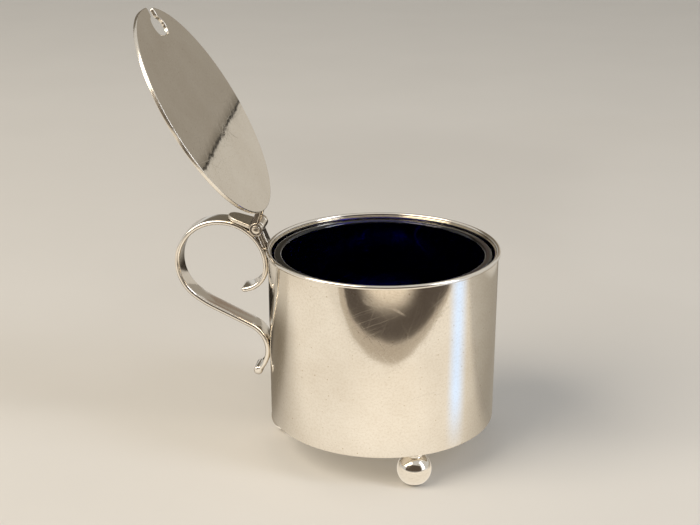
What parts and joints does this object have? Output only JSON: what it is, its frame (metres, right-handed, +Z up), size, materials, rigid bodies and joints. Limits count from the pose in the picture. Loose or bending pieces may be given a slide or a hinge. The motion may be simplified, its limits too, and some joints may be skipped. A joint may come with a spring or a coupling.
{
  "type": "mustard pot",
  "caption": "Drum-shaped silver mustard pot on ball feet, with a strap handle, a hinged flat lid with thumbpiece and spoon notch, and a lift-out blue glass liner.",
  "frame": {"origin": "on the pot's axis, in the plane that the ball feet stand on", "axes": "+Z up along the pot's axis, -X towards the handle, Y along the hinge pin"},
  "size_m": [0.0921, 0.061, 0.1157],
  "materials": {
    "sheet_silver": "polished sterling sheet with fine handling scratches",
    "wire_silver": "polished sterling strip and wire",
    "cast_silver": "polished cast silver",
    "hinge_silver": "worn polished silver with tarnish in the corners",
    "cobalt_glass": "smooth moulded cobalt blue glass"
  },
  "bodies": {
    "pot": {"base_plate": "sheet_silver", "body_wall": "sheet_silver", "rim_wire": "wire_silver", "foot_handle_side": "cast_silver", "foot_front": "cast_silver", "foot_back": "cast_silver", "handle": "wire_silver", "hinge_plate": "hinge_silver", "centre_knuckle": "hinge_silver", "hinge_pin": "hinge_silver"},
    "lid": {"lid": "sheet_silver", "lid_bracket": "hinge_silver", "lid_knuckle_front": "hinge_silver", "lid_knuckle_back": "hinge_silver", "thumbpiece": "hinge_silver"},
    "liner": {"glass_liner": "cobalt_glass"}
  },
  "joints": [
    {"name": "lid_hinge", "type": "hinge", "parent": "pot", "child": "lid", "pos_m": [-0.03275, 0, 0.05985], "axis": [0, 1, 0], "range_deg": [0, 121]},
    {"name": "liner_lift", "type": "slide", "parent": "pot", "child": "liner", "axis": [0, 0, 1], "range_m": [0, 0.075]}
  ]
}
